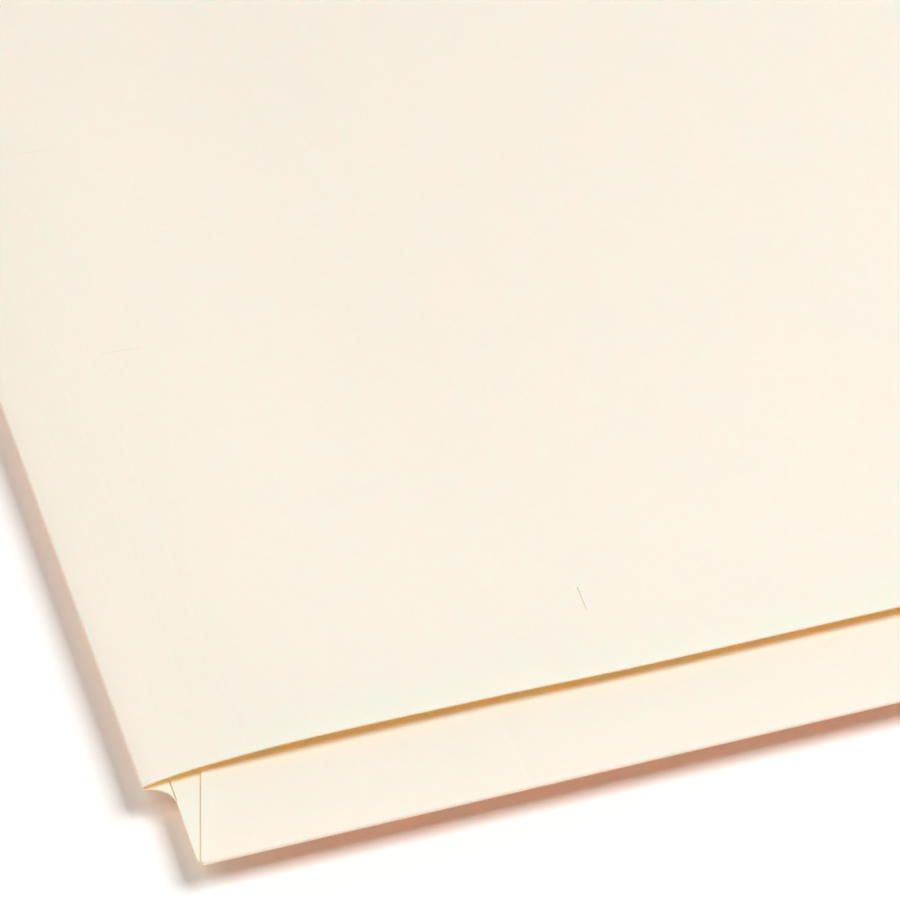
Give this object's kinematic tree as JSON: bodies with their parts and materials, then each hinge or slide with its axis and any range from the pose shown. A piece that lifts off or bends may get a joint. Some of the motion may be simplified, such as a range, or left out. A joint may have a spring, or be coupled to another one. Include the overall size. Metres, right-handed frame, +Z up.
{
  "type": "end-tab fastener folder",
  "caption": "Letter-size manila end-tab file folder, closed, with a doubled end tab, scored fold and bonded prong fasteners with sliding locks inside.",
  "frame": {"origin": "under the middle of the closed folder, on the surface it lies on", "axes": "+X from the fold towards the open side, +Y from the tab end towards the far end, +Z up through the front panel"},
  "size_m": [0.2411, 0.3112, 0.009],
  "materials": {
    "manila_board": "matte uncoated manila board",
    "bonding_paper": "matte paper bonding strip",
    "fastener_steel": "bright tinned steel"
  },
  "bodies": {
    "back": {"back_panel": "manila_board", "tab_flap": "manila_board", "spine_strip": "manila_board", "back_fastener_base": "fastener_steel", "back_bonding_strip": "bonding_paper", "back_compressor_bar": "fastener_steel"},
    "cover": {"front_panel": "manila_board", "front_fastener_base": "fastener_steel", "front_bonding_strip": "bonding_paper", "front_compressor_bar": "fastener_steel"},
    "back_prong_l": {"back_prong_left": "fastener_steel"},
    "back_prong_r": {"back_prong_right": "fastener_steel"},
    "back_lock_l": {"back_lock_left": "fastener_steel"},
    "back_lock_r": {"back_lock_right": "fastener_steel"},
    "cover_prong_l": {"front_prong_left": "fastener_steel"},
    "cover_prong_r": {"front_prong_right": "fastener_steel"},
    "cover_lock_l": {"front_lock_left": "fastener_steel"},
    "cover_lock_r": {"front_lock_right": "fastener_steel"}
  },
  "joints": [
    {"name": "cover_fold", "type": "hinge", "parent": "back", "child": "cover", "pos_m": [-0.12055, 0, 0.00607], "axis": [0, -1, 0], "range_deg": [0, 180]},
    {"name": "back_prong_bend_l", "type": "hinge", "parent": "back", "child": "back_prong_l", "pos_m": [-0.03508, 0.13623, 0.00139], "axis": [0, -1, 0], "range_deg": [0, 90]},
    {"name": "back_prong_bend_r", "type": "hinge", "parent": "back", "child": "back_prong_r", "pos_m": [0.03508, 0.13623, 0.00139], "axis": [0, 1, 0], "range_deg": [0, 90]},
    {"name": "cover_prong_bend_l", "type": "hinge", "parent": "cover", "child": "cover_prong_l", "pos_m": [-0.03508, 0.13623, 0.00307], "axis": [0, 1, 0], "range_deg": [0, 90]},
    {"name": "cover_prong_bend_r", "type": "hinge", "parent": "cover", "child": "cover_prong_r", "pos_m": [0.03508, 0.13623, 0.00307], "axis": [0, -1, 0], "range_deg": [0, 90]},
    {"name": "back_lock_slide_l", "type": "slide", "parent": "back", "child": "back_lock_l", "axis": [-1, 0, 0], "range_m": [0, 0.016]},
    {"name": "back_lock_slide_r", "type": "slide", "parent": "back", "child": "back_lock_r", "axis": [1, 0, 0], "range_m": [0, 0.016]},
    {"name": "cover_lock_slide_l", "type": "slide", "parent": "cover", "child": "cover_lock_l", "axis": [-1, 0, 0], "range_m": [0, 0.016]},
    {"name": "cover_lock_slide_r", "type": "slide", "parent": "cover", "child": "cover_lock_r", "axis": [1, 0, 0], "range_m": [0, 0.016]}
  ],
  "couplings": [
    {"joint": "back_prong_bend_l", "follows": "cover_fold", "ratio": 0.4999},
    {"joint": "back_prong_bend_r", "follows": "cover_fold", "ratio": 0.4999},
    {"joint": "cover_prong_bend_l", "follows": "cover_fold", "ratio": 0.4999},
    {"joint": "cover_prong_bend_r", "follows": "cover_fold", "ratio": 0.4999}
  ]
}
